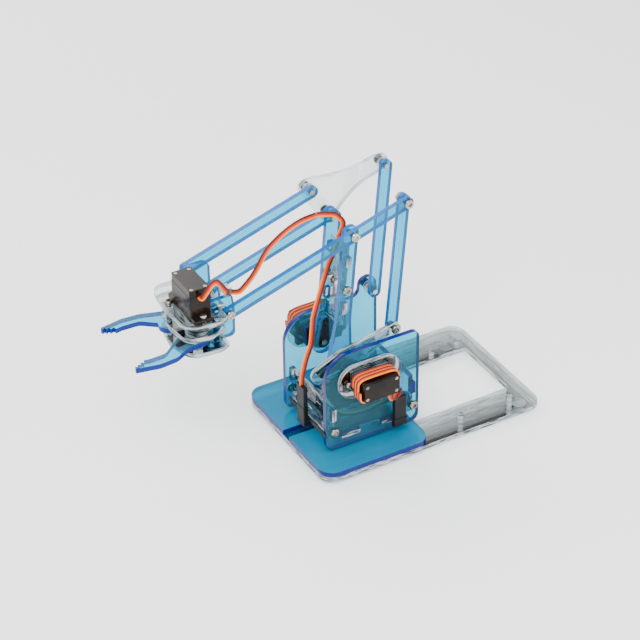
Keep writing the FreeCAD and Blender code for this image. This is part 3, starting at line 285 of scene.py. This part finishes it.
ASSIGN = {
    blue_link: ["near_upper_arm", "far_upper_arm", "near_forearm", "far_forearm", "drive_link", "rear_link", "top_link",
                "gripper_near_plate", "gripper_far_plate"],
    blue_side: ["near_side_plate", "far_side_plate"],
    blue_base: ["base_top_plate"],
    blue_jaw: ["near_jaw", "far_jaw"],
    blue_x: ["rear_cross_plate"],
    clear_z: ["base_frame_plate", "turret_floor", "gripper_servo_plate", "gripper_middle_plate", "gripper_lower_plate"],
    clear_y: ["servo_collars", "elbow_lever", "elbow_plate", "cable_clip", "fin_spacer", "elbow_plate_spacers", "wrist_spacer"],
    clear_x: ["front_cross_plate", "arm_brace"],
    steel: ["turret_screws", "turret_nuts", "turret_servo_screws", "upper_arm_screws", "arm_brace_nuts", "elbow_lever_screws",
            "drive_link_screw", "rear_link_screws", "top_link_screw", "gripper_servo_screws", "gripper_pivot_screws",
            "near_jaw_screw", "yaw_horn_screw"],
    smoke: ["turret_servo_housings", "gripper_servo_housing"],
    brass: ["yaw_servo_output", "shoulder_servo_output", "elbow_servo_output", "gripper_servo_output"],
    black: ["yaw_horn", "shoulder_horn", "elbow_horn", "gripper_horn", "lead_connectors"],
    rubber: ["rubber_feet"],
}
for mat, names in ASSIGN.items():
    for n in names:
        o = N[n]
        o.data.materials.clear()
        o.data.materials.append(mat)

SMALL = 0.00012
for n, o in N.items():
    if n.startswith("gripper_lead") or n == "turret_leads":
        continue
    # weld the imported corners so that the bevel follows each real edge
    w = o.modifiers.new("Weld", "WELD")
    w.merge_threshold = 0.000004
    b = o.modifiers.new("Bevel", "BEVEL")
    b.width = 0.00022 if n in ("turret_servo_housings", "gripper_servo_housing", "lead_connectors") else SMALL
    b.segments = 2
    b.limit_method = "ANGLE"
    b.angle_limit = math.radians(40)
    b.use_clamp_overlap = True
    b.harden_normals = False


# ------------------------------------------------------------------ leads
def catmull(points, per=10):
    pts = [Vector(p) for p in points]
    ext = [pts[0] * 2 - pts[1]] + pts + [pts[-1] * 2 - pts[-2]]
    out = []
    for i in range(1, len(ext) - 2):
        a, b, c, d = ext[i - 1:i + 3]
        for k in range(per):
            t = k / per
            out.append(0.5 * (2 * b + (c - a) * t + (2 * a - 5 * b + 4 * c - d) * t * t + (3 * b - a - 3 * c + d) * t ** 3))
    out.append(pts[-1])
    return out


def offset_strand(path, k, side, pitch):
    """path shifted k pitches along the ribbon's width"""
    out = []
    n = len(path)
    for i, p in enumerate(path):
        t = (path[min(i + 1, n - 1)] - path[max(i - 1, 0)]).normalized()
        s = side[i] - t * side[i].dot(t)
        s.normalize()
        out.append(p + s * (k * pitch))
    return out


def tube(name, path, r, mat, body=None):
    cu = bpy.data.curves.new(name, "CURVE")
    cu.dimensions = "3D"
    cu.bevel_depth = r
    cu.bevel_resolution = 4
    cu.use_fill_caps = True
    sp = cu.splines.new("NURBS")
    sp.points.add(len(path) - 1)
    for q, p in zip(sp.points, path):
        q.co = (*p, 1)
    sp.order_u = 3
    sp.use_endpoint_u = True
    sp.resolution_u = 4
    cu.materials.append(mat)
    o = bpy.data.objects.new(name, cu)
    bpy.context.scene.collection.objects.link(o)
    if body:
        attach(o, body)
    return o


WIRE_R = 0.00052
WIRE_P = 0.00098
STR = ((-1, "brown", w_brown), (0, "red", w_red), (1, "orange", w_orange))


def to_mesh(o):
    dg = bpy.context.evaluated_depsgraph_get()
    me = bpy.data.meshes.new_from_object(o.evaluated_get(dg))
    m = bpy.data.objects.new(o.name + "_m", me)
    bpy.context.scene.collection.objects.link(m)
    for f in me.polygons:
        f.use_smooth = True
    name = o.name
    bpy.data.objects.remove(o)
    m.name = name
    return m


FLAT = Vector((0.36, 0.80, 0.48)).normalized()


def ribbon(name, route, sides, body=None, blend=None, nodes=(), per=10, r=WIRE_R, pitch=WIRE_P):
    path = catmull(route, per)
    sd = catmull(sides, per)
    if name.startswith("gripper_lead"):
        # the strip's width stays square to its run and to one steady direction
        n = len(path)
        sd = [(path[min(i + 1, n - 1)] - path[max(i - 1, 0)]).normalized().cross(FLAT).normalized() for i in range(n)]
    for k, tag, mat in STR:
        p = offset_strand(path, k, sd, pitch)
        o = tube(name + "_" + tag, p, r, mat, None if blend else body)
        if blend:
            o = to_mesh(o)
            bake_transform(o)
        if k == 0:
            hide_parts(*nodes)


E_, W_ = (-7.25, 134.87), (69.13, 111.08)
FWv = (math.cos(math.radians(17.3)), -math.sin(math.radians(17.3)))
UPv = (-math.sin(math.radians(5.2)), math.cos(math.radians(5.2)))


def fore(s, up, y):
    return P(E_[0] + FWv[0] * s - FWv[1] * up, y, E_[1] + FWv[1] * s + FWv[0] * up)


def arm(s, fw, y):
    return P(UPv[0] * s + UPv[1] * fw, y, 55.2 + UPv[1] * s - UPv[0] * fw)


Xv, Yv, Zv = Vector((1, 0, 0)), Vector((0, 1, 0)), Vector((0, 0, 1))
# out of the gripper servo, over in a loop and through the clip
ribbon("gripper_lead_start", [P(87.6, 16.2, 130.6), P(87.6, 19.2, 130.8), P(86.4, 21.0, 134.2), P(82.4, 20.8, 138.4),
                              P(78.0, 18.4, 137.2), P(73.4, 15.4, 130.6), P(69.6, 12.4, 124.6), P(68.8, 9.4, 123.5), P(68.6, 6.8, 123.2)],
       [Xv, Xv, Xv * 0.9 + Zv * 0.3, Xv * 0.7 + Zv * 0.5, Xv * 0.5 + Zv * 0.7, Zv + Xv * 0.3, Zv, Zv, Zv], body="gripper", nodes=("gripper_lead_start",))
# clip to forearm, crossing the wrist
ribbon("gripper_lead_wrist", [P(68.6, 6.8, 123.2), P(66.4, 5.4, 120.2), fore(69, 2.9, 4.8), fore(64.5, 2.7, 3.8), fore(58, 4.2, 2.2)],
       [Zv, Zv, Zv, Zv, Zv], blend=("forearm", "gripper", fore(62, 0, 0), fore(76, 0, 0)))
ribbon("gripper_lead_forearm", [fore(58, 4.2, 2.2), fore(53, 6.8, 1.2), fore(48.5, 9.6, 0.2), fore(43, 12.4, -0.8), fore(37, 14.0, -1.6), fore(29, 15.0, -2.6),
                                fore(20, 15.3, -2.8), fore(11, 14.4, -1.6)],
       [Zv, Zv, Zv, Zv, Zv, Zv * 0.9 + Yv * 0.3, Zv * 0.7 + Yv * 0.6, Yv * 0.9 + Zv * 0.4], body="forearm", nodes=("gripper_lead_forearm",))
# over the elbow: first towards the levelling plate, then down to the upper arm
ribbon("gripper_lead_over", [fore(11, 14.4, -1.6), fore(7.2, 13.2, 0.2), P(-1.2, 2.2, 144.7), P(-3.4, 3.4, 143.0)],
       [Yv * 0.9 + Zv * 0.4, Yv, Yv, Yv], blend=("levelling_plate", "forearm", P(-3.4, 3.4, 143.0), fore(11, 14.4, -1.6)))
ribbon("gripper_lead_bend", [P(-3.4, 3.4, 143.0), P(-5.2, 4.2, 140.6), P(-5.2, 4.6, 137.2), arm(77, 4.6, 4.8)],
       [Yv, Yv, Yv, Yv], blend=("upper_arm", "levelling_plate", arm(77, 4.6, 4.8), P(-3.4, 3.4, 143.0)))
ribbon("gripper_lead_arm", [arm(77, 4.6, 4.8), arm(69, 5.8, 4.5), arm(61, 8.6, 4.0), arm(50, 11.4, 4.0), arm(38, 14.0, 4.0), arm(27, 16.2, 4.0)],
       [Yv, Yv, Yv, Yv, Yv, Yv], body="upper_arm", nodes=("gripper_lead_arm",))
ribbon("gripper_lead_foot", [arm(27, 16.2, 4.0), P(14.6, 4.2, 73.6), P(15.7, 4.5, 66.7), P(19.0, 5.0, 59.0), P(21.3, 5.3, 51.0), P(22.2, 5.5, 46.0), P(22.2, 5.5, 42.2)],
       [Yv] * 7, blend=("turret", "upper_arm", P(19.0, 5.0, 57.0), arm(27, 16.2, 4.0)))


def winds(name, y0, y1, turns, z_c, x0, x1, hz, th, nodes=()):
    """a flat lead wound round a servo's body"""
    path, side = [], []
    n = 28
    ys = [y0 + (y1 - y0) * (k + 0.5) / turns for k in range(turns)]
    total = turns * n
    for i in range(total + 1):
        f = i / n
        a = 2 * math.pi * (f % 1.0)
        y = y0 + (y1 - y0) * min(1.0, i / total)
        cx, hx = (x0 + x1) / 2, (x1 - x0) / 2 + th
        hh = hz + th
        c, s = math.cos(a), math.sin(a)
        e = 0.42
        x = cx + hx * math.copysign(abs(c) ** e, c)
        z = z_c + hh * math.copysign(abs(s) ** e, s)
        path.append(P(x, y, z))
        side.append(Yv)
    for k, tag, mat in STR:
        p = offset_strand(path, k, side, WIRE_P)
        o = tube(name + "_" + tag, p, WIRE_R, mat, "turret")
        if k == 0 and nodes:
            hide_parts(*nodes)


winds("elbow_servo_winds", 36.2, 43.6, 3, 55.2, -16.3, 5.9, 5.9, 1.5, nodes=("turret_leads",))
winds("shoulder_servo_winds", -29.4, -37.2, 3, 55.2, -16.3, 5.9, 5.9, 2.2)
ribbon("elbow_servo_drop", [P(-13.0, 42.4, 47.6), P(-14.0, 41.0, 43.0), P(-17.4, 38.4, 38.6), P(-21.4, 35.6, 39.6), P(-24.2, 33.4, 40.0), P(-24.6, 32.9, 37.4), P(-24.6, 32.9, 34.4)],
       [Xv] * 7, body="turret")
ribbon("yaw_servo_lead", [P(1.8, 0, 33.0), P(5.0, 0.4, 33.2), P(8.2, 4.0, 32.6), P(9.2, 11, 30), P(7.4, 17, 26.5), P(3.0, 20.6, 25.0), P(-4.0, 22.6, 24.6), P(-14, 22.8, 25.2), P(-24, 22.6, 26.4)],
       [Zv] * 9, body="turret")

# ------------------------------------------------------------------ stage
fl = bpy.data.meshes.new("Floor")
s_ = 3.0
fl.from_pydata([(-s_, -s_, 0), (s_, -s_, 0), (s_, s_, 0), (-s_, s_, 0)], [], [(0, 1, 2, 3)])
floor = bpy.data.objects.new("Floor", fl)
bpy.context.scene.collection.objects.link(floor)
FM = Mat("PaleFloor")
fp = FM.node("ShaderNodeBsdfPrincipled")
c, f = noise_col(FM, 3.0, (0.96, 0.96, 0.96), (0.98, 0.98, 0.98))
FM.link(c, fp.inputs["Base Color"])
fp.inputs["Roughness"].default_value = 0.7
FM.link(fp.outputs[0], FM.out.inputs["Surface"])
fl.materials.append(FM.m)
floor.location.z = -0.0002

world = bpy.data.worlds.new("World")
bpy.context.scene.world = world
world.use_nodes = True
bg = world.node_tree.nodes["Background"]
bg.inputs["Color"].default_value = (1, 1, 1, 1)
bg.inputs["Strength"].default_value = 1.55


def area(name, loc, target, size_, power):
    l = bpy.data.lights.new(name, "AREA")
    l.shape = "RECTANGLE"
    l.size, l.size_y = size_
    l.energy = power
    o = bpy.data.objects.new(name, l)
    o.location = loc
    o.rotation_mode = "QUATERNION"
    o.rotation_quaternion = (Vector(target) - Vector(loc)).to_track_quat("-Z", "Y")
    bpy.context.scene.collection.objects.link(o)


area("Key", (0.45, 0.55, 0.95), (0, 0, 0.06), (0.5, 0.5), 16.0)
area("Fill", (-0.7, 0.75, 0.6), (0, 0, 0.07), (0.8, 0.6), 6.0)
area("Back", (0.1, -0.8, 0.7), (0, 0, 0.08), (0.9, 0.5), 6.0)

cam_d = bpy.data.cameras.new("Camera")
cam = bpy.data.objects.new("Camera", cam_d)
bpy.context.scene.collection.objects.link(cam)
cam_d.sensor_width = 36.0
cam_d.lens = 2273.38 * 36.0 / 640.0
cam_d.shift_x = (320.0 - 335.08) / 640.0
cam_d.shift_y = (321.13 - 320.0) / 640.0
cam_d.clip_start, cam_d.clip_end = 0.05, 20.0
fwd = Vector((-0.40741847, -0.71609246, -0.56676431))
up = Vector((-0.28876663, -0.48775061, 0.8238405))
right = fwd.cross(up).normalized()
up = right.cross(fwd).normalized()
m = Matrix(((right.x, up.x, -fwd.x), (right.y, up.y, -fwd.y), (right.z, up.z, -fwd.z))).to_4x4()
m.translation = Vector((0.510598 + DX, 0.901733 + DY, 0.787377))
cam.matrix_world = m
bpy.context.scene.camera = cam
bpy.context.view_layer.update()
